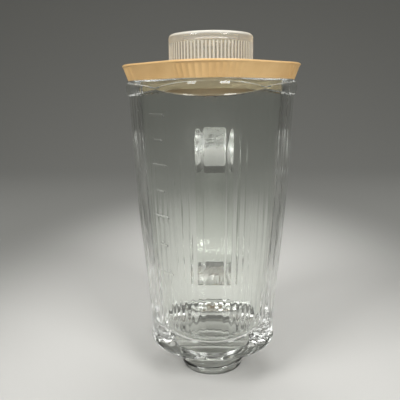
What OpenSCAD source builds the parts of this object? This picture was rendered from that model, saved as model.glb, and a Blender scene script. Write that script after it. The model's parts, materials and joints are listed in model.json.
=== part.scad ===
// Glass blender jar with a moulded handle, a soft vinyl lid and a clear measuring cap.
//
// The jar is one piece of pressed glass. Its plan is a square with round corners: one
// corner faces -Y, the side corners face +X and -X, and the fourth carries the handle
// on +Y. Towards the foot the four faces are drawn in, so that the corners become the
// lobes of a clover with valleys between them. The clover runs out into a round heel,
// and the round neck below the heel takes the blade unit and its screw collar.
//
// Millimetres, +Z up. The origin is the centre of the neck's foot, where the jar stands.

/* [Neck and heel] */
// Outside diameter of the neck, which the screw collar goes over
neck_d = 47; // [44:0.5:54]
// Height of the neck, from its foot up to the heel
neck_h = 25; // [18:0.5:32]
// Diameter of the throat, the bore through the neck
throat_d = 39; // [32:0.5:40]
// Diameter of the round heel
heel_d = 96; // [92:1:100]
// Height of the heel's upright side
heel_band = 2; // [1.5:0.5:5]
// Height over which the heel's shoulder sweeps up into the valleys
heel_shoulder = 12; // [8:0.5:20]
// Thickness of glass between the underside of the heel and the floor of the cavity
floor_t = 11; // [8:0.5:16]

/* [Jar body] */
// Height of the glass from the foot of the neck to the top of the rim
jar_h = 221; // [200:1:250]
// Width across two corners at the foot of the body
foot_w = 95; // [90:1:96]
// Width across two corners just under the rim bead
shoulder_w = 119; // [114:0.5:124]
// Radius of the round corners of the body
body_corner_r = 30; // [28:0.5:32]
// Height above the heel at which the valleys have run out into flat faces
valley_h = 62; // [40:1:110]
// Thickness of the wall at the corners
corner_wall = 7.6; // [5:0.2:9]
// Radius of the corners of the room inside the jar
cavity_corner_r = 28; // [26.5:0.5:30]
// Height of the bead round the rim, at the corners
bead_h = 10; // [7:0.5:14]
// How far the bead stands out from the corners of the body
bead_out = 2.2; // [1:0.1:3]
// Number of upright flutes pressed into the outside of the body
flutes = 56; // [40:8:56]
// Half the depth of a flute at the foot, from its middle line to its crest
flute_wave = 0.3; // [0.1:0.05:0.4]

/* [Handle] */
// Distance from the rim down to the middle of the handle's upper root
handle_drop = 56; // [48:1:64]
// Height of the middle of the handle's lower root above the heel
handle_rise = 33; // [28:1:42]
// Distance from the axis of the jar out to the middle of the grip
handle_reach = 92; // [86:1:104]
// Width of the grip
grip_w = 34; // [28:0.5:38]
// Thickness of the grip
grip_t = 13; // [10:0.5:16]
// Height of the seam that the mould leaves along the middle of the handle
seam = 0.3; // [0:0.1:0.5]

/* [Lid] */
// Width of the lid across two corners, at its top edge
lid_w = 127.6; // [124:0.2:132]
// Radius of the lid's four rounded corners, at its top edge
corner_r = 34.4; // [30:0.2:40]
// Height of the lid's skirt
skirt_h = 11; // [8:0.5:15]
// How much the skirt narrows towards its bottom, on each side
skirt_taper = 4; // [2:0.2:5]
// Thickness of the lid's walls
lid_wall = 2.4; // [1.6:0.1:3]
// Depth of the shallow tray inside the lip, on top of the lid
tray_depth = 1.6; // [0.8:0.1:2.4]
// Number of grip ribs round each corner of the skirt
corner_ribs = 12; // [8:1:14]
// How far a grip rib stands out
rib_out = 0.6; // [0.2:0.1:1]
// How far the plug of the lid reaches down into the mouth of the jar
plug_h = 6; // [4:0.5:12]
// Gap between the plug and the mouth, all round
plug_clearance = 0.4; // [0.3:0.1:0.8]

/* [Measuring cap] */
// Diameter of the ribbed head of the cap
cap_d = 60; // [57:0.5:63]
// Height of the head above the lid
head_h = 22; // [16:0.5:26]
// Thickness of the cap's side wall
cap_wall = 2.2; // [1.6:0.1:2.6]
// Thickness of the cap's closed top
cap_top = 3.4; // [2:0.1:4]
// Diameter of the hole in the lid that the cap drops into
hole_d = 54; // [50:0.5:54.5]
// Length of the spigot that hangs in the hole, below the head
spigot_h = 17; // [12:0.5:22]
// Gap between the spigot and the hole, all round
cap_clearance = 0.3; // [0.3:0.1:0.6]
// Number of ribs round the head
cap_ribs = 72; // [48:1:90]

/* [Hidden] */
$fn = 96;

glass_color = [0.80, 0.85, 0.84, 0.4];
lid_color = [0.85, 0.72, 0.50];
cap_color = [0.90, 0.90, 0.86, 0.5];

// How far pieces of one solid run into each other, and cuts run past a surface.
overlap = 1;

// The small slope above the rim bead: its height, and how far it draws the rim in.
rim_edge = 1;
rim_inset = 0.8;

heel_z = neck_h;
body_z = heel_z + heel_band;
floor_z = heel_z + floor_t;
rim_z = jar_h;
bead_z = rim_z - rim_edge - bead_h;

// ---- Sections and lofts ----

function mix(a, b, t) = a + (b - a) * t;

function smooth(t) = let (u = min(max(t, 0), 1)) u * u * (3 - 2 * u);

// The outline of a square with round corners that point along the axes and reach out
// to radius reach. On each face it is drawn in by the share valley: at 0 the face is
// flat, and at 1 the corner arcs run on until they meet on the diagonal. The line
// where they meet is rounded over a small angle on either side.
valley_round = 1.6;

function body_radius(angle, reach, corner_r, valley) =
    let (
        centre = reach - corner_r,
        flank = corner_r / sqrt(2),
        from_corner = abs((angle + 45) % 90 - 45),
        from_face = 45 - from_corner,
        rounded = from_face > 2 * valley_round
            ? from_face
            : from_face * from_face / (4 * valley_round) + valley_round,
        turn = 45 - rounded,
        arc = centre * cos(turn) + sqrt(pow(corner_r, 2) - pow(centre * sin(turn), 2)),
        flat = (centre / sqrt(2) + corner_r) / cos(from_face)
    )
    from_corner < atan(flank / (centre + flank)) ? arc : mix(flat, arc, valley);

function body_ring(z, reach, corner_r, valley, points = 80) = [
    for (i = [0:points - 1])
        let (angle = 360 * i / points, r = body_radius(angle, reach, corner_r, valley))
        [r * cos(angle), r * sin(angle), z]
];

function average(points, i = 0) =
    i == len(points) ? [0, 0, 0] : points[i] / len(points) + average(points, i + 1);

// A skin over rings of equal length. It is closed by a fan round a middle point at
// each end, or joined end to end where the rings run round a hollow wall.
module loft(rings, joined = false) {
    n = len(rings[0]);
    last = len(rings) - 1;
    top = n * (last + 1);
    middles = [average(rings[0]), average(rings[last])];
    sides = [
        for (k = [0:joined ? last : last - 1], i = [0:n - 1])
            let (j = (i + 1) % n, next = (k + 1) % (last + 1))
            each [
                [k * n + i, next * n + i, next * n + j],
                [k * n + i, next * n + j, k * n + j]
            ]
    ];
    ends = [
        for (i = [0:n - 1])
            let (j = (i + 1) % n)
            each [[top, i, j], [top + 1, last * n + j, last * n + i]]
    ];
    polyhedron(
        concat([for (ring = rings) each ring], joined ? [] : middles),
        joined ? sides : concat(sides, ends)
    );
}

// ---- Glass jar ----

// The foot and the upper body each have their own draft, and the flare joins them.
foot_draft = 0.04;
heel_power = 60;
upper_draft = 0.05;
flare_from = heel_z + 20;
flare_to = rim_z - 85;

function flare(z) = smooth((z - flare_from) / (flare_to - flare_from));

function corner_reach(z) = mix(
    foot_w / 2 + foot_draft * (z - body_z),
    shoulder_w / 2 - upper_draft * (bead_z - z),
    flare(z)
);

function valley_share(z) =
    pow(min(max(1 - (z - body_z) / (valley_h - heel_band), 0), 1), 1.2);

// The heel's shoulder sweeps in and up from the round heel in a hollow curve.
function shoulder_r(z) =
    let (
        valley_r = body_radius(45, foot_w / 2, body_corner_r, 1),
        left = min(max(1 - (z - body_z) / heel_shoulder, 0), 1)
    )
    mix(valley_r - overlap, heel_d / 2, pow(left, 3));

// The outside of the body at height z, with three points to each flute. Low down, the
// shoulder stands out of the valleys, and the power mean rounds the line between them.
function wall_radius(z, angle) =
    let (r = body_radius(angle, corner_reach(z), body_corner_r, valley_share(z)))
    z > body_z + heel_shoulder
        ? r
        : pow(pow(r, heel_power) + pow(shoulder_r(z), heel_power), 1 / heel_power);

function outer_ring(z, inset = 0, wave = 0) = [
    for (i = [0:3 * flutes - 1])
        let (
            angle = 120 * i / flutes,
            r = wall_radius(z, angle) - inset + wave * cos(120 * i)
        )
        [r * cos(angle), r * sin(angle), z]
];

function heel_ring(z, r) = [
    for (i = [0:3 * flutes - 1])
        let (angle = 120 * i / flutes)
        [r * cos(angle), r * sin(angle), z]
];

// The rim bead, at the angle turn round its section, from -90 below to 90 above. It is
// full at the corners and narrows to a thin line in the middle of each face.
bead_least = 0.12;

function bead_ring(turn) = [
    for (i = [0:3 * flutes - 1])
        let (
            angle = 120 * i / flutes,
            share = mix(bead_least, 1, abs(cos(2 * angle))),
            z = bead_z + bead_h / 2 + share * sin(turn) * bead_h / 2,
            r = wall_radius(z, angle) + share * bead_out * cos(turn)
        )
        [r * cos(angle), r * sin(angle), z]
];

// The inside of the wall, or of what fits in the mouth with an inset.
function inner_ring(z, inset = 0, at_z = undef) = body_ring(
    is_undef(at_z) ? z : at_z,
    corner_reach(z) - corner_wall - inset,
    cavity_corner_r - inset,
    0
);

module outer_body() {
    heel_r = heel_d / 2;
    heel_edge = 1.2;
    heel_steps = 5;
    steps = 6;
    shoulder_top = body_z + heel_shoulder;
    flute_to = bead_z - 5;
    loft([
        heel_ring(heel_z, heel_r - heel_edge),
        heel_ring(heel_z + heel_edge, heel_r),
        for (k = [0:heel_steps])
            outer_ring(mix(body_z, shoulder_top, pow(k / heel_steps, 1.4))),
        for (k = [1:steps])
            let (up = k / steps)
            outer_ring(mix(shoulder_top, flute_to, up), wave = flute_wave * (1 - 0.4 * up)),
        for (turn = [-90:36:90]) bead_ring(turn),
        outer_ring(rim_z, rim_inset)
    ]);
}

// The room inside the jar. It runs on above the rim, to cut clean through it.
module cavity() {
    steps = 5;
    loft([
        inner_ring(floor_z, 5),
        inner_ring(floor_z + 1.5, 1.8),
        inner_ring(floor_z + 4.5, 0.3),
        for (k = [1:steps]) inner_ring(mix(floor_z + 4.5, bead_z, k / steps)),
        inner_ring(rim_z - 1.5),
        inner_ring(rim_z, -1.2),
        inner_ring(rim_z + overlap, -1.2)
    ]);
}

module neck() {
    neck_r = neck_d / 2;
    root = 2;
    rotate_extrude()
        polygon([
            [0, 0],
            [neck_r - 1, 0],
            [neck_r, 1],
            [neck_r, heel_z - root],
            [neck_r + root, heel_z],
            [neck_r + root, heel_z + overlap],
            [0, heel_z + overlap]
        ]);
}

// The floor falls from the foot of the wall to the throat.
module throat() {
    translate([0, 0, -overlap])
        cylinder(h = floor_z + 2 * overlap, d = throat_d);
    fall = floor_t / 2;
    translate([0, 0, floor_z - fall])
        cylinder(h = fall + overlap / 10, d1 = throat_d, d2 = throat_d + 5 * fall);
}

function bezier(a, b, c, d, t) =
    pow(1 - t, 3) * a + 3 * t * pow(1 - t, 2) * b + 3 * t * t * (1 - t) * c
        + pow(t, 3) * d;

upper_root_z = rim_z - handle_drop;
lower_root_z = heel_z + handle_rise;
upper_root_t = 41;
lower_root_t = 22;
root_depth = 12;

// The middle line of the handle, as [y, z]: the first half runs from the upper root
// out to the grip, and the second from the grip back in to the lower root.
function handle_line(s) =
    let (
        grip_z = mix(lower_root_z, upper_root_z, 0.5),
        upper = [corner_reach(upper_root_z) - root_depth, upper_root_z],
        lower = [corner_reach(lower_root_z) - root_depth, lower_root_z],
        grip = [handle_reach, grip_z],
        drop = (upper_root_z - lower_root_z) / 2,
        reach = handle_reach - upper[0]
    )
    s <= 1
        ? bezier(upper, upper + [0.95 * reach, 0], grip + [6, 0.8 * drop], grip, s)
        : bezier(grip, grip - [3, 0.9 * drop], lower + [0.95 * reach, 0], lower, s - 1);

// An oblong with round corners across the middle line, as wide as w and as thick as t.
// The exponent squares it up: 1 makes it an ellipse. The seam stands on its inner and
// outer faces, where one point of the outline gives way to three.
handle_roundness = 0.5;
handle_points = 20;
seam_w = 1;

function handle_outline(w, t) = [
    for (i = [0:handle_points - 1])
        let (
            c = cos(360 * i / handle_points),
            d = sin(360 * i / handle_points),
            x = w / 2 * sign(c) * pow(abs(c), handle_roundness),
            y = t / 2 * sign(d) * pow(abs(d), handle_roundness)
        )
        each abs(d) < 1
            ? [[x, y]]
            : [[d * seam_w, y], [0, y + d * seam], [-d * seam_w, y]]
];

function handle_ring(s, w, t) =
    let (
        here = handle_line(s),
        step = handle_line(min(s + 0.01, 2)) - handle_line(max(s - 0.01, 0)),
        along = step / norm(step),
        across = [along[1], -along[0]]
    )
    [
        for (p = handle_outline(w, t))
            [p[0], here[0] + p[1] * across[0], here[1] + p[1] * across[1]]
    ];

module handle() {
    steps = 18;
    loft([
        for (k = [0:steps])
            let (
                s = 2 * k / steps,
                root = smooth(abs(s - 1) * 1.5 - 0.5),
                root_t = s < 1 ? upper_root_t : lower_root_t
            )
            handle_ring(s, grip_w - 3 * root, mix(grip_t, root_t, root))
    ]);
}

module glass_jar() {
    color(glass_color)
        difference() {
            union() {
                outer_body();
                handle();
                neck();
            }
            cavity();
            throat();
        }
}

// ---- Lid ----

lip_z = rim_z + skirt_h;
deck_z = lip_z - tray_depth;
deck_under_z = deck_z - lid_wall;
plug_z = rim_z - plug_h;
lip_w = 2;
lip_round = 1.2;
rib_run_out = 1;

// A square with round corners that point along the axes. The ribs stand on the
// corners only, with three points to each rib.
function lid_ring(z, inset, rib = 0) =
    let (points = 3 * corner_ribs, arc_r = corner_r - inset)
    [
        for (corner = [0:90:270], i = [0:points])
            let (
                turn = corner + mix(-45, 45, i / points),
                r = arc_r + rib * cos(120 * i),
                middle = lid_w / 2 - corner_r
            )
            [
                middle * cos(corner) + r * cos(turn),
                middle * sin(corner) + r * sin(turn),
                z
            ]
    ];

module skirt_and_deck() {
    half_rib = rib_out / 2;
    rib_end = lip_round + rib_run_out;
    loft([
        lid_ring(deck_under_z, skirt_taper / 3 + lid_wall),
        lid_ring(rim_z, skirt_taper + lid_wall),
        lid_ring(rim_z, skirt_taper + half_rib, half_rib),
        lid_ring(lip_z - rib_end, skirt_taper * rib_end / skirt_h + half_rib, half_rib),
        for (a = [0:30:90])
            lid_ring(lip_z - lip_round * (1 - sin(a)), lip_round * (1 - cos(a))),
        lid_ring(lip_z, lip_w),
        lid_ring(deck_z, lip_w + 1)
    ]);
}

// The plug is a thin upright wall that follows the mouth of the jar.
module plug() {
    gap = plug_clearance;
    wall = plug_clearance + lid_wall;
    loft([
        inner_ring(rim_z, wall, deck_under_z + overlap),
        inner_ring(rim_z, wall),
        inner_ring(plug_z, wall - 0.4),
        inner_ring(plug_z, gap + 0.8),
        inner_ring(plug_z + 1.5, gap),
        inner_ring(rim_z, gap),
        inner_ring(rim_z, gap, deck_under_z + overlap)
    ], joined = true);
}

module lid() {
    color(lid_color)
        difference() {
            union() {
                skirt_and_deck();
                plug();
                translate([0, 0, plug_z])
                    cylinder(h = deck_z - plug_z, d = hole_d + 2 * lid_wall);
            }
            translate([0, 0, plug_z - overlap])
                cylinder(h = skirt_h + plug_h + 2 * overlap, d = hole_d);
        }
}

// ---- Measuring cap ----

module cap_shell() {
    head_r = cap_d / 2;
    core_r = head_r - 0.6;
    spigot_r = hole_d / 2 - cap_clearance;
    inner_r = spigot_r - cap_wall;
    top_z = deck_z + head_h;
    ceiling_z = top_z - cap_top;
    foot_z = deck_z - spigot_h;
    edge = 2.6;
    fillet = 3.5;
    rotate_extrude()
        polygon([
            [inner_r, foot_z],
            [spigot_r - 0.6, foot_z],
            [spigot_r, foot_z + 0.6],
            [spigot_r, deck_z],
            [head_r, deck_z],
            [head_r, deck_z + 2],
            [core_r, deck_z + 2.6],
            [core_r, top_z - 6.6],
            [head_r, top_z - 6],
            for (a = [0:15:90])
                [head_r - edge + edge * cos(a), top_z - edge + edge * sin(a)],
            [0, top_z],
            [0, ceiling_z],
            for (a = [90:-15:0])
                [inner_r - 1 - fillet + fillet * cos(a), ceiling_z - fillet + fillet * sin(a)]
        ]);
}

module cap_rib_band() {
    head_r = cap_d / 2;
    points = 4 * cap_ribs;
    translate([0, 0, deck_z + 1])
        linear_extrude(head_h - 7)
            difference() {
                polygon([
                    for (i = [0:points - 1])
                        let (r = head_r - 0.3 + 0.3 * cos(90 * i), turn = 360 * i / points)
                        [r * cos(turn), r * sin(turn)]
                ]);
                circle(d = hole_d);
            }
}

module measuring_cap() {
    color(cap_color) {
        cap_shell();
        cap_rib_band();
    }
}

glass_jar();
lid();
measuring_cap();
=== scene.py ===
# %% [markdown]
# # A glass blender jar
#
# The jar comes from the CAD model as three pieces that already have their true size
# and place: the pressed glass jar, the vinyl lid and the clear measuring cap. Blender
# gives them their finish, adds the screw thread on the neck and the raised measuring
# marks, and builds a plain studio around them.

import json
import math

import bpy
from mathutils import Matrix, Vector


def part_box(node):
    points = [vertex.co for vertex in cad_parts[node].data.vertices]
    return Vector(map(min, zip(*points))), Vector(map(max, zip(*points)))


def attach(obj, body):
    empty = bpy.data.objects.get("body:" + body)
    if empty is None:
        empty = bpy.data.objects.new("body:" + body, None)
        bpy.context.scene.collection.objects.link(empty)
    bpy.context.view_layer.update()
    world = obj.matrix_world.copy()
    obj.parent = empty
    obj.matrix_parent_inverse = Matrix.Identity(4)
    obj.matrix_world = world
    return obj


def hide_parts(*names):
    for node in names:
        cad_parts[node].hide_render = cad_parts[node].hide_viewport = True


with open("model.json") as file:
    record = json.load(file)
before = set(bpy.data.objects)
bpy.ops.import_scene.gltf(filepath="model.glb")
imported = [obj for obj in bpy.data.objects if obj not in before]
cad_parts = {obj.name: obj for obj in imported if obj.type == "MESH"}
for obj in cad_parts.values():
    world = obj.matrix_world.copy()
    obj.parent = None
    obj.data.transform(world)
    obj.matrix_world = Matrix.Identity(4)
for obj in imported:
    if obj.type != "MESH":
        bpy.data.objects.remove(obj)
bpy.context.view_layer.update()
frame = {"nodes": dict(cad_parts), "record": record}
for name, node in frame["nodes"].items():
    print(name, len(node.data.polygons), "triangles")

# %% [markdown]
# ## Helpers
#
# Blender works in metres, and a small object is easier to think about in millimetres,
# so one constant turns one into the other. Colours are written as sRGB hex values, the
# way a paint chart gives them, and one function makes them linear. Another adds a shader
# node with its settings and links, which keeps each material short. A setting with the
# name or number of an input goes to that input, and any other belongs to the node. Two
# more start a new material and give one to a piece.

# %% Units, colours and shader nodes
MM = 0.001


def linear(hex_colour):
    channels = [int(hex_colour[i:i + 2], 16) / 255 for i in (1, 3, 5)]
    curved = [c / 12.92 if c <= 0.04045 else ((c + 0.055) / 1.055) ** 2.4 for c in channels]
    return (*curved, 1)


def add_node(tree, kind, settings=None, links=None):
    node = tree.nodes.new(kind)
    for key, value in (settings or {}).items():
        if isinstance(key, int) or key in node.inputs:
            node.inputs[key].default_value = value
        else:
            setattr(node, key, value)
    for key, source in (links or {}).items():
        tree.links.new(source, node.inputs[key])
    return node


def new_material(name):
    material = bpy.data.materials.new(name)
    material.use_nodes = True
    return material, material.node_tree, material.node_tree.nodes["Principled BSDF"]


def give(piece, material):
    piece.data.materials.clear()
    piece.data.materials.append(material)
    print(piece.name, "is made of", material.name)


print("middle grey is", round(linear("#808080")[0], 3), "when it is linear")

# %% [markdown]
# ## Merged copies of the CAD pieces
#
# A CAD node is a heap of loose triangles, and glass would show every one of them as a
# facet. The node itself is left alone. A copy of it has its doubled points merged, so
# that neighbouring faces share their normals and can be smoothed later on.

# %% Copy and merge
MERGE_DISTANCE = 0.002 * MM


def only(*pieces):
    bpy.ops.object.select_all(action="DESELECT")
    for piece in pieces:
        piece.select_set(True)
    bpy.context.view_layer.objects.active = pieces[0]


def merged_copy(node_name, piece_name):
    only(frame["nodes"][node_name])
    bpy.ops.object.duplicate()
    piece = bpy.context.active_object
    piece.name = piece.data.name = piece_name
    bpy.ops.mesh.customdata_custom_splitnormals_clear()
    bpy.ops.object.mode_set(mode="EDIT")
    bpy.ops.mesh.select_all(action="SELECT")
    bpy.ops.mesh.remove_doubles(threshold=MERGE_DISTANCE)
    bpy.ops.object.mode_set(mode="OBJECT")
    print(piece_name, len(piece.data.vertices), "points")
    return piece


jar = merged_copy("glass_jar", "pressed_glass_jar")
lid = merged_copy("lid", "vinyl_lid")
cap = merged_copy("measuring_cap", "clear_measuring_cap")

# %% [markdown]
# ## The screw thread
#
# The blade unit is held to the jar by a collar that screws onto the neck. Its thread
# is a rounded ridge that runs a little over two turns round the glass. A small circle
# stands at the side of the neck, and the Screw modifier sweeps it round and up, as a
# lathe hand would cut it. The record gives the radius of the neck. Boolean then fuses
# the ridge with the glass, because two bodies of glass that only overlap would show the
# seam between them.

# %% Sweep the thread
neck = next(mount for mount in frame["record"]["mounts"] if mount["name"] == "neck")
NECK_RADIUS = neck["dims"]["r_mm"] * MM
THREAD_PITCH = 6 * MM
THREAD_TURNS = 2.15
THREAD_START = 3.6 * MM
THREAD_RADIUS = 1.6 * MM
THREAD_SINK = 0.3 * MM
SIDES_OF_THE_RIDGE = 10
STEPS_IN_THE_SWEEP = 110


def screw_thread():
    bpy.ops.object.select_all(action="DESELECT")
    bpy.ops.mesh.primitive_circle_add(
        vertices=SIDES_OF_THE_RIDGE,
        radius=THREAD_RADIUS,
        fill_type="NGON",
        location=(-NECK_RADIUS + THREAD_SINK, 0, THREAD_START),
        rotation=(math.radians(90), 0, 0),
    )
    thread = bpy.context.active_object
    thread.name = "neck_thread"
    bpy.ops.object.transform_apply(location=True, rotation=True, scale=True)
    bpy.ops.object.mode_set(mode="EDIT")
    bpy.ops.mesh.select_all(action="SELECT")
    bpy.ops.mesh.delete(type="ONLY_FACE")
    bpy.ops.object.mode_set(mode="OBJECT")
    sweep = thread.modifiers.new("sweep", "SCREW")
    sweep.angle = 2 * math.pi * THREAD_TURNS
    sweep.screw_offset = THREAD_PITCH * THREAD_TURNS
    sweep.steps = sweep.render_steps = STEPS_IN_THE_SWEEP
    sweep.use_normal_calculate = True
    bpy.ops.object.modifier_apply(modifier=sweep.name)
    bpy.ops.object.mode_set(mode="EDIT")
    bpy.ops.mesh.select_all(action="SELECT")
    bpy.ops.mesh.fill_holes(sides=0)
    bpy.ops.mesh.normals_make_consistent(inside=False)
    bpy.ops.object.mode_set(mode="OBJECT")
    print("thread", len(thread.data.polygons), "faces")
    return thread


thread = screw_thread()

# %% [markdown]
# A thread doesn't stop in a step: it runs out into the neck at both ends. The last ring
# of points is pulled in towards the middle of the neck, and proportional editing drags
# the next ones along, less and less the further away they are.

# %% Run the thread out at both ends
RUN_OUT = 9 * MM
RUN_OUT_SINK = 2.2 * MM
END_RING_WITHIN = 1.05 * THREAD_RADIUS


def run_out(thread, turns):
    angle = math.pi + 2 * math.pi * turns
    radial = Vector((math.cos(angle), math.sin(angle), 0))
    ridge_radius = NECK_RADIUS - THREAD_SINK
    end = radial * ridge_radius + Vector((0, 0, THREAD_START + THREAD_PITCH * turns))
    only(thread)
    bpy.ops.object.mode_set(mode="EDIT")
    bpy.ops.mesh.select_all(action="DESELECT")
    bpy.ops.object.mode_set(mode="OBJECT")
    for vertex in thread.data.vertices:
        vertex.select = (vertex.co - end).length < END_RING_WITHIN
    bpy.ops.object.mode_set(mode="EDIT")
    bpy.ops.transform.translate(
        value=-RUN_OUT_SINK * radial,
        use_proportional_edit=True,
        use_proportional_connected=True,
        proportional_edit_falloff="SMOOTH",
        proportional_size=RUN_OUT,
    )
    bpy.ops.object.mode_set(mode="OBJECT")


run_out(thread, 0)
run_out(thread, THREAD_TURNS)
print("the thread now ends", round(1000 * min(v.co.xy.length for v in thread.data.vertices), 1),
      "mm from the axis")

# %% [markdown]
# ## Measuring marks
#
# Low bars stand on one diagonal face of the jar, one for each cup and a short one for
# each half. They carry no words. A ray cast from outside finds the glass at the height
# of each bar, so that every bar stands on the true surface.

# %% Raise the measuring marks
CUP_HEIGHTS = (86, 128, 164, 198)
HALF_CUP_HEIGHTS = (107, 146, 181)
CUP_WIDTH, HALF_CUP_WIDTH = 15, 8
MARK_PROUD = 0.3 * MM
MARK_SUNK = 0.8 * MM
MARK_HEIGHT = 1.6 * MM
MARK_ROUNDING = 0.3 * MM


def measuring_mark(height, width):
    outward = Vector((-1, -1, 0)).normalized()
    level = Vector((0, 0, height * MM))
    found, point, normal, index = jar.ray_cast(level + outward, -outward)
    centre = point + outward * (MARK_PROUD - MARK_SUNK) / 2
    bpy.ops.object.select_all(action="DESELECT")
    bpy.ops.mesh.primitive_cube_add(size=1, location=centre, rotation=(0, 0, math.radians(45)))
    mark = bpy.context.active_object
    mark.scale = (MARK_PROUD + MARK_SUNK, width * MM, MARK_HEIGHT)
    bpy.ops.object.transform_apply(location=True, rotation=True, scale=True)
    rounding = mark.modifiers.new("round the edges", "BEVEL")
    rounding.width = MARK_ROUNDING
    rounding.segments = 2
    bpy.ops.object.modifier_apply(modifier=rounding.name)
    return mark


marks = [measuring_mark(height, CUP_WIDTH) for height in CUP_HEIGHTS]
marks += [measuring_mark(height, HALF_CUP_WIDTH) for height in HALF_CUP_HEIGHTS]
print(len(marks), "measuring marks")

# %% [markdown]
# The ridge and the marks are joined into one mesh, and one exact Boolean fuses them with
# the glass. What is left is a single closed shell, which is what glass needs.

# %% Fuse the raised work with the glass
only(*marks, thread)
bpy.ops.object.join()
raised_work = bpy.context.active_object
only(jar)
fuse = jar.modifiers.new("fuse", "BOOLEAN")
fuse.operation = "UNION"
fuse.solver = "EXACT"
fuse.object = raised_work
bpy.ops.object.modifier_apply(modifier=fuse.name)
bpy.data.objects.remove(raised_work)
print("the glass now has", len(jar.data.polygons), "faces")

# %% [markdown]
# ## Smooth skins on moving bodies
#
# Glass and plastic come out of a mould with soft, flowing faces, so only edges sharper than
# about thirty degrees stay crisp. The Boolean leaves long thin triangles round the marks, which
# would draw fine lines in the glass. Weighted Normal lets the large faces decide the shading,
# and the lines are gone. Each piece then takes the place of the CAD node that it was copied
# from, which is hidden, and hangs on an empty named for its body.

# %% Smooth the pieces and hang them on their bodies
GLASS_CRISP_FROM, PLASTIC_CRISP_FROM = 32, 28


def smooth(piece, crisp_angle):
    only(piece)
    bpy.ops.object.shade_smooth_by_angle(angle=math.radians(crisp_angle))


def even_shading(piece):
    only(piece)
    evened = piece.modifiers.new("even the shading", "WEIGHTED_NORMAL")
    evened.keep_sharp = True
    bpy.ops.object.modifier_apply(modifier=evened.name)


def belongs(piece, node_name, body):
    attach(piece, body)
    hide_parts(node_name)


smooth(jar, GLASS_CRISP_FROM)
even_shading(jar)
smooth(lid, PLASTIC_CRISP_FROM)
smooth(cap, PLASTIC_CRISP_FROM)
belongs(jar, "glass_jar", "jar")
belongs(lid, "lid", "lid")
belongs(cap, "measuring_cap", "cap")
for piece in (jar, lid, cap):
    print(piece.name, len(piece.data.polygons), "faces")

# %% [markdown]
# ## Pressed soda-lime glass
#
# The jar is soda-lime glass, pressed in an iron mould and fire-polished. Its index of
# refraction is 1.52. It is clear, with a faint grey-green cast where it is thick. The
# mould leaves shallow upright waves on the walls, so the bump is a noise drawn out along
# the height: it makes what is seen through the glass run in streaks. It fades out
# towards the foot, whose thick glass is smooth, and towards the middle of the front and
# the back, where the handle is seen through two nearly flat stretches of wall. Sizes of
# patterns are in millimetres here and below: a noise of scale 1 has features about one
# metre across, so its scale is 1000 divided by that size.

# %% Glass
STREAK_WIDTH, STREAK_LENGTH = 2.4, 150
WAVE_DEPTH = 0.2 * MM
SMOOTH_UP_TO, STREAKS_FROM = 45 * MM, 80 * MM
FLAT_MIDDLE, WAVY_SIDES = 12 * MM, 28 * MM


def pressed_glass():
    material, tree, shader = new_material("pressed_soda_lime_glass")
    place = add_node(tree, "ShaderNodeTexCoord")
    stretch = add_node(
        tree,
        "ShaderNodeMapping",
        {"Scale": (1000 / STREAK_WIDTH, 1000 / STREAK_WIDTH, 1000 / STREAK_LENGTH)},
        {"Vector": place.outputs["Object"]},
    )
    waves = add_node(
        tree,
        "ShaderNodeTexNoise",
        {"Scale": 1, "Detail": 1.5, "Roughness": 0.4},
        {"Vector": stretch.outputs["Vector"]},
    )
    axes = add_node(tree, "ShaderNodeSeparateXYZ", links={0: place.outputs["Object"]})
    above_the_foot = add_node(
        tree,
        "ShaderNodeMapRange",
        {"From Min": SMOOTH_UP_TO, "From Max": STREAKS_FROM},
        {"Value": axes.outputs["Z"]},
    )
    off_centre = add_node(
        tree, "ShaderNodeMath", {"operation": "ABSOLUTE"}, {0: axes.outputs["X"]}
    )
    towards_the_sides = add_node(
        tree,
        "ShaderNodeMapRange",
        {"From Min": FLAT_MIDDLE, "From Max": WAVY_SIDES},
        {"Value": off_centre.outputs["Value"]},
    )
    where = add_node(
        tree,
        "ShaderNodeMath",
        {"operation": "MULTIPLY"},
        {0: above_the_foot.outputs["Result"], 1: towards_the_sides.outputs["Result"]},
    )
    wall_waves = add_node(
        tree,
        "ShaderNodeMath",
        {"operation": "MULTIPLY"},
        {0: waves.outputs["Fac"], 1: where.outputs["Value"]},
    )
    bump = add_node(
        tree,
        "ShaderNodeBump",
        {"Strength": 0.9, "Distance": WAVE_DEPTH},
        {"Height": wall_waves.outputs["Value"]},
    )
    tree.links.new(bump.outputs["Normal"], shader.inputs["Normal"])
    shader.inputs["Base Color"].default_value = linear("#fafcf9")
    shader.inputs["Roughness"].default_value = 0.015
    shader.inputs["IOR"].default_value = 1.52
    shader.inputs["Transmission Weight"].default_value = 1
    return material


give(jar, pressed_glass())

# %% [markdown]
# ## Soft vinyl
#
# The lid is moulded in plasticised vinyl, which bends light with an index of 1.53. It is a warm
# tan with a satin sheen, and years in a kitchen have mottled it a little: a broad noise shifts
# its colour and its roughness. A fine grain, drawn coarser than it is so that it shows, breaks
# up the highlight. The plug hangs down inside the jar in the shade of the lid, and everything
# below the mouth of the jar is mixed towards cream. This is painted light, which makes the
# shaded plug paler. The inputs of a Mix node share their names, so they go by number: 6 and 7
# are the two colours, and output 2 is the mixed one.

# %% Vinyl
MOTTLE, GRAIN = 28, 0.7
GRAIN_DEPTH = 0.05 * MM
DARK_TAN, LIGHT_TAN, PAINTED_LIGHT_CREAM = "#d8ae74", "#ecc68c", "#f4e0b8"
# Below the mouth of the jar the plug is mixed towards cream: painted light on a part that sits
# in shade.
JAR_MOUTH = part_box("glass_jar")[1].z
TAN_DOWN_TO, PAINTED_LIGHT_BELOW = JAR_MOUTH - 0.5 * MM, JAR_MOUTH - 1.5 * MM


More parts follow.
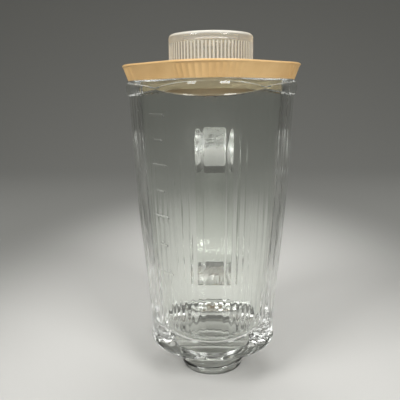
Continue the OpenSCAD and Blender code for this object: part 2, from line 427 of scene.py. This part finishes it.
def tan_vinyl():
    material, tree, shader = new_material("moulded_tan_vinyl")
    place = add_node(tree, "ShaderNodeTexCoord")
    mottle = add_node(
        tree,
        "ShaderNodeTexNoise",
        {"Scale": 1000 / MOTTLE, "Detail": 4, "Roughness": 0.55},
        {"Vector": place.outputs["Object"]},
    )
    colour = add_node(tree, "ShaderNodeValToRGB", links={"Fac": mottle.outputs["Fac"]})
    colour.color_ramp.elements[0].position = 0.3
    colour.color_ramp.elements[0].color = linear(DARK_TAN)
    colour.color_ramp.elements[1].position = 0.72
    colour.color_ramp.elements[1].color = linear(LIGHT_TAN)
    grain = add_node(
        tree,
        "ShaderNodeTexNoise",
        {"Scale": 1000 / GRAIN, "Detail": 2, "Roughness": 0.6},
        {"Vector": place.outputs["Object"]},
    )
    sheen_map = add_node(
        tree,
        "ShaderNodeMapRange",
        {"From Min": 0.3, "From Max": 0.7, "To Min": 0.36, "To Max": 0.5},
        {"Value": mottle.outputs["Fac"]},
    )
    bump = add_node(
        tree,
        "ShaderNodeBump",
        {"Strength": 0.2, "Distance": GRAIN_DEPTH},
        {"Height": grain.outputs["Fac"]},
    )
    axes = add_node(tree, "ShaderNodeSeparateXYZ", links={0: place.outputs["Object"]})
    inside = add_node(
        tree,
        "ShaderNodeMapRange",
        {"From Min": TAN_DOWN_TO, "From Max": PAINTED_LIGHT_BELOW},
        {"Value": axes.outputs["Z"]},
    )
    # Painted light: the shaded plug below the mouth of the jar is mixed towards cream.
    plug_painted_lighter = add_node(
        tree,
        "ShaderNodeMix",
        {"data_type": "RGBA", 7: linear(PAINTED_LIGHT_CREAM)},
        {0: inside.outputs["Result"], 6: colour.outputs["Color"]},
    )
    tree.links.new(plug_painted_lighter.outputs[2], shader.inputs["Base Color"])
    tree.links.new(sheen_map.outputs["Result"], shader.inputs["Roughness"])
    tree.links.new(bump.outputs["Normal"], shader.inputs["Normal"])
    shader.inputs["IOR"].default_value = 1.53
    return material


give(lid, tan_vinyl())

# %% [markdown]
# ## Clear styrene
#
# The measuring cap is clear polystyrene. Handling has scuffed what stands out furthest,
# which is the crests of the ribs and the round edge on top, and scuffed plastic turns
# milky: it scatters light instead of passing it. The distance from the axis picks the
# crests, and the height picks the edge. The smooth band between them has stayed clear.

# %% Where the cap is scuffed
CAP_RADIUS, CAP_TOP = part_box("measuring_cap")[1].x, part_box("measuring_cap")[1].z
RIB_SIDE, RIB_CREST = CAP_RADIUS - 0.45 * MM, CAP_RADIUS - 0.05 * MM
RIBS_UP_TO, BAND_FROM = CAP_TOP - 6.6 * MM, CAP_TOP - 6 * MM
EDGE_FROM, EDGE_TO = CAP_TOP - 2.5 * MM, CAP_TOP - 1.2 * MM


def scuffed_parts(tree, place):
    axes = add_node(tree, "ShaderNodeSeparateXYZ", links={0: place.outputs["Object"]})
    flat = add_node(
        tree,
        "ShaderNodeMapping",
        {"Scale": (1, 1, 0)},
        {"Vector": place.outputs["Object"]},
    )
    radius = add_node(
        tree, "ShaderNodeVectorMath", {"operation": "LENGTH"}, {0: flat.outputs["Vector"]}
    )
    crests = add_node(
        tree,
        "ShaderNodeMapRange",
        {"From Min": RIB_SIDE, "From Max": RIB_CREST},
        {"Value": radius.outputs["Value"]},
    )
    below_the_band = add_node(
        tree,
        "ShaderNodeMapRange",
        {"From Min": RIBS_UP_TO, "From Max": BAND_FROM, "To Min": 1, "To Max": 0.25},
        {"Value": axes.outputs["Z"]},
    )
    ribs = add_node(
        tree,
        "ShaderNodeMath",
        {"operation": "MULTIPLY"},
        {0: crests.outputs["Result"], 1: below_the_band.outputs["Result"]},
    )
    top_edge = add_node(
        tree,
        "ShaderNodeMapRange",
        {"From Min": EDGE_FROM, "From Max": EDGE_TO},
        {"Value": axes.outputs["Z"]},
    )
    return add_node(
        tree,
        "ShaderNodeMath",
        {"operation": "MAXIMUM"},
        {0: ribs.outputs["Value"], 1: top_edge.outputs["Result"]},
    )


print("the cap has a radius of", round(1000 * CAP_RADIUS, 1), "mm and its top is at",
      round(1000 * CAP_TOP, 1), "mm")

# %% [markdown]
# Where the plastic is scuffed it passes less than half of the light, and elsewhere nine
# tenths. Fine scratches also make it pale where it is seen edge on, which is a sheen.
# Polystyrene has an index of 1.59. The shader has 1.5, because 1.59 draws the grooves
# between the ribs a little darker still, and they are already darker than on a real cap.

# %% Styrene
STAIN = 9
CLEAR, SCUFFED = 0.9, 0.42


def clear_styrene():
    material, tree, shader = new_material("clear_polystyrene")
    place = add_node(tree, "ShaderNodeTexCoord")
    scuffs = scuffed_parts(tree, place)
    clearness = add_node(
        tree,
        "ShaderNodeMapRange",
        {"To Min": CLEAR, "To Max": SCUFFED},
        {"Value": scuffs.outputs["Value"]},
    )
    stains = add_node(
        tree,
        "ShaderNodeTexNoise",
        {"Scale": 1000 / STAIN, "Detail": 5, "Roughness": 0.6},
        {"Vector": place.outputs["Object"]},
    )
    haze = add_node(
        tree,
        "ShaderNodeMapRange",
        {"From Min": 0.3, "From Max": 0.7, "To Min": 0.03, "To Max": 0.1},
        {"Value": stains.outputs["Fac"]},
    )
    tree.links.new(clearness.outputs["Result"], shader.inputs["Transmission Weight"])
    tree.links.new(haze.outputs["Result"], shader.inputs["Roughness"])
    shader.inputs["Base Color"].default_value = linear("#fffdf4")
    shader.inputs["IOR"].default_value = 1.5
    shader.inputs["Sheen Weight"].default_value = 1
    shader.inputs["Sheen Roughness"].default_value = 0.5
    shader.inputs["Sheen Tint"].default_value = linear("#fff8e4")
    return material


give(cap, clear_styrene())

# %% [markdown]
# ## Studio
#
# A sweep of paper runs under the jar and curves up behind it, so that no horizon line
# shows through the glass. It starts as one flat sheet: its far edge is extruded upwards,
# and a wide bevel rounds the corner.

# %% Floor and backdrop
PAPER_WIDTH, PAPER_DEPTH = 16, 10
WALL_BEHIND, WALL_HEIGHT = 2.2, 3
CORNER_ROUNDING = 1.2


def studio_sweep():
    bpy.ops.object.select_all(action="DESELECT")
    centre = (0, WALL_BEHIND - PAPER_DEPTH / 2, 0)
    bpy.ops.mesh.primitive_plane_add(size=1, location=centre)
    sweep = bpy.context.active_object
    sweep.name = "studio_sweep"
    sweep.scale = (PAPER_WIDTH, PAPER_DEPTH, 1)
    bpy.ops.object.transform_apply(location=True, rotation=True, scale=True)
    bpy.ops.object.mode_set(mode="EDIT")
    bpy.ops.mesh.select_mode(type="EDGE")
    bpy.ops.mesh.select_all(action="DESELECT")
    bpy.ops.object.mode_set(mode="OBJECT")
    points = sweep.data.vertices
    for edge in sweep.data.edges:
        edge.select = all(points[v].co.y > 0 for v in edge.vertices)
    bpy.ops.object.mode_set(mode="EDIT")
    bpy.ops.mesh.extrude_region_move(TRANSFORM_OT_translate={"value": (0, 0, WALL_HEIGHT)})
    bpy.ops.object.mode_set(mode="OBJECT")
    corner = sweep.modifiers.new("round the corner", "BEVEL")
    corner.width = CORNER_ROUNDING
    corner.segments = 24
    bpy.ops.object.modifier_apply(modifier=corner.name)
    bpy.ops.object.shade_smooth()
    return sweep


sweep = studio_sweep()
print("sweep", len(sweep.data.polygons), "faces")

# %% [markdown]
# The paper is pale round the jar and grades to a middle grey further out, sooner to the
# sides than to the back. Clear glass shows little of its own: it bends its surroundings
# into view. On evenly pale paper it would all but vanish, and the grading is what draws
# its edges. A fine noise, coarser than real fibres so that it shows, gives the paper its
# tooth.

# %% Graded paper
PALE_UP_TO, GREY_FROM = 0.2, 0.9
SIDES_SOONER = 2.3
FIBRE = 1.2
PALE_GREY, MIDDLE_GREY = "#cbcac6", "#848480"


def graded_paper():
    material, tree, shader = new_material("graded_grey_paper")
    place = add_node(tree, "ShaderNodeTexCoord")
    narrow = add_node(
        tree,
        "ShaderNodeMapping",
        {"Scale": (SIDES_SOONER, 1, 1)},
        {"Vector": place.outputs["Object"]},
    )
    reach = add_node(
        tree, "ShaderNodeVectorMath", {"operation": "LENGTH"}, {0: narrow.outputs["Vector"]}
    )
    depth = add_node(
        tree,
        "ShaderNodeMapRange",
        {
            "interpolation_type": "SMOOTHERSTEP",
            "From Min": PALE_UP_TO,
            "From Max": GREY_FROM,
        },
        {"Value": reach.outputs["Value"]},
    )
    fibres = add_node(
        tree,
        "ShaderNodeTexNoise",
        {"Scale": 1000 / FIBRE, "Detail": 3, "Roughness": 0.6},
        {"Vector": place.outputs["Object"]},
    )
    speck = add_node(
        tree,
        "ShaderNodeMapRange",
        {"To Min": -0.06, "To Max": 0.06},
        {"Value": fibres.outputs["Fac"]},
    )
    shade = add_node(
        tree,
        "ShaderNodeMath",
        {"operation": "ADD"},
        {0: depth.outputs["Result"], 1: speck.outputs["Result"]},
    )
    colour = add_node(tree, "ShaderNodeValToRGB", links={"Fac": shade.outputs["Value"]})
    colour.color_ramp.elements[0].color = linear(PALE_GREY)
    colour.color_ramp.elements[1].color = linear(MIDDLE_GREY)
    tree.links.new(colour.outputs["Color"], shader.inputs["Base Color"])
    shader.inputs["Roughness"].default_value = 0.9
    return material


give(sweep, graded_paper())

# %% [markdown]
# Three soft boxes light the jar: one high on the left, one as high on the right and
# further to the front, and one above and behind, which lights the handle and the heel
# from within. The front two stand high, because a lamp at the height of the jar would
# lay its white square over the glass.

# %% Lamps
AIM = Vector((0, 0, 0.13))
SOFT_BOXES = (  # name, place, width and height, watts
    ("key_softbox", (-0.9, -0.8, 1.0), (0.6, 0.8), 14),
    ("fill_softbox", (0.8, -1.0, 0.9), (0.6, 0.6), 14),
    ("top_softbox", (0.1, 0.5, 1.3), (0.9, 0.6), 6),
)


def softbox(name, place, size, watts):
    data = bpy.data.lights.new(name, "AREA")
    data.shape = "RECTANGLE"
    data.size, data.size_y = size
    data.energy = watts
    lamp = bpy.data.objects.new(name, data)
    bpy.context.collection.objects.link(lamp)
    lamp.location = place
    lamp.rotation_euler = (Vector(place) - AIM).to_track_quat("Z", "Y").to_euler()


for name, place, size, watts in SOFT_BOXES:
    softbox(name, place, size, watts)
    print(name, watts, "watts")

# %% [markdown]
# The room is dim at eye level and brighter towards the ceiling. Glass shows its
# surroundings and little else, so this is what draws dark lines along its edges and
# soft light inside its thick parts.

# %% Room
ROOM_AT_EYE_LEVEL, CEILING = "#5a5955", "#9c9c9a"


def studio_room():
    world = bpy.data.worlds.new("studio_room")
    world.use_nodes = True
    tree = world.node_tree
    place = add_node(tree, "ShaderNodeTexCoord")
    axes = add_node(tree, "ShaderNodeSeparateXYZ", links={0: place.outputs["Generated"]})
    light = add_node(tree, "ShaderNodeValToRGB", links={"Fac": axes.outputs["Z"]})
    light.color_ramp.elements[0].position = 0.05
    light.color_ramp.elements[0].color = linear(ROOM_AT_EYE_LEVEL)
    light.color_ramp.elements[1].position = 0.7
    light.color_ramp.elements[1].color = linear(CEILING)
    tree.links.new(light.outputs["Color"], tree.nodes["Background"].inputs["Color"])
    return world


bpy.context.scene.world = studio_room()
print("the room grades from", ROOM_AT_EYE_LEVEL, "to", CEILING)

# %% [markdown]
# ## Camera
#
# A slightly long lens stands just below the rim of the jar and close to it, and looks
# down at it by about twelve degrees. Close up, the foot is seen from above and the lid
# nearly edge on.

# %% Camera
LENS, SENSOR = 45, 36
DISTANCE = 0.372
HEIGHT = 0.210
SIDE_ANGLE = -1.2
PITCH = 11.75
PAN = 1.37
ROLL = 0.62


def camera():
    data = bpy.data.cameras.new("camera")
    data.lens = LENS
    data.sensor_width = SENSOR
    data.clip_start = 0.01
    eye = bpy.data.objects.new("camera", data)
    bpy.context.collection.objects.link(eye)
    side = math.radians(SIDE_ANGLE)
    eye.location = (-DISTANCE * math.sin(side), -DISTANCE * math.cos(side), HEIGHT)
    turn = (
        Matrix.Rotation(math.radians(PAN) - side, 3, "Z")
        @ Matrix.Rotation(math.radians(90 - PITCH), 3, "X")
        @ Matrix.Rotation(math.radians(-ROLL), 3, "Z")
    )
    eye.rotation_euler = turn.to_euler()
    return eye


bpy.context.scene.camera = camera()
print("the lens stands", round(1000 * HEIGHT), "mm above the floor")

# %% [markdown]
# ## How far a ray of light may travel
#
# Thick glass works as a light pipe: a ray that enters the handle is reflected many
# times before it gets out. With too few bounces it ends inside and leaves a black
# patch, so the limits are raised.

# %% Light bounces
MOST_BOUNCES = 32

paths = bpy.context.scene.cycles
paths.max_bounces = paths.glossy_bounces = paths.transmission_bounces = MOST_BOUNCES
print("a ray may bounce", paths.max_bounces, "times")

# %% [markdown]
# ## Colours
#
# The Standard view shows a colour as it is written, with no film look laid over it.

# %% Colours as they are written
bpy.context.scene.view_settings.view_transform = "Standard"
print("view transform:", bpy.context.scene.view_settings.view_transform)
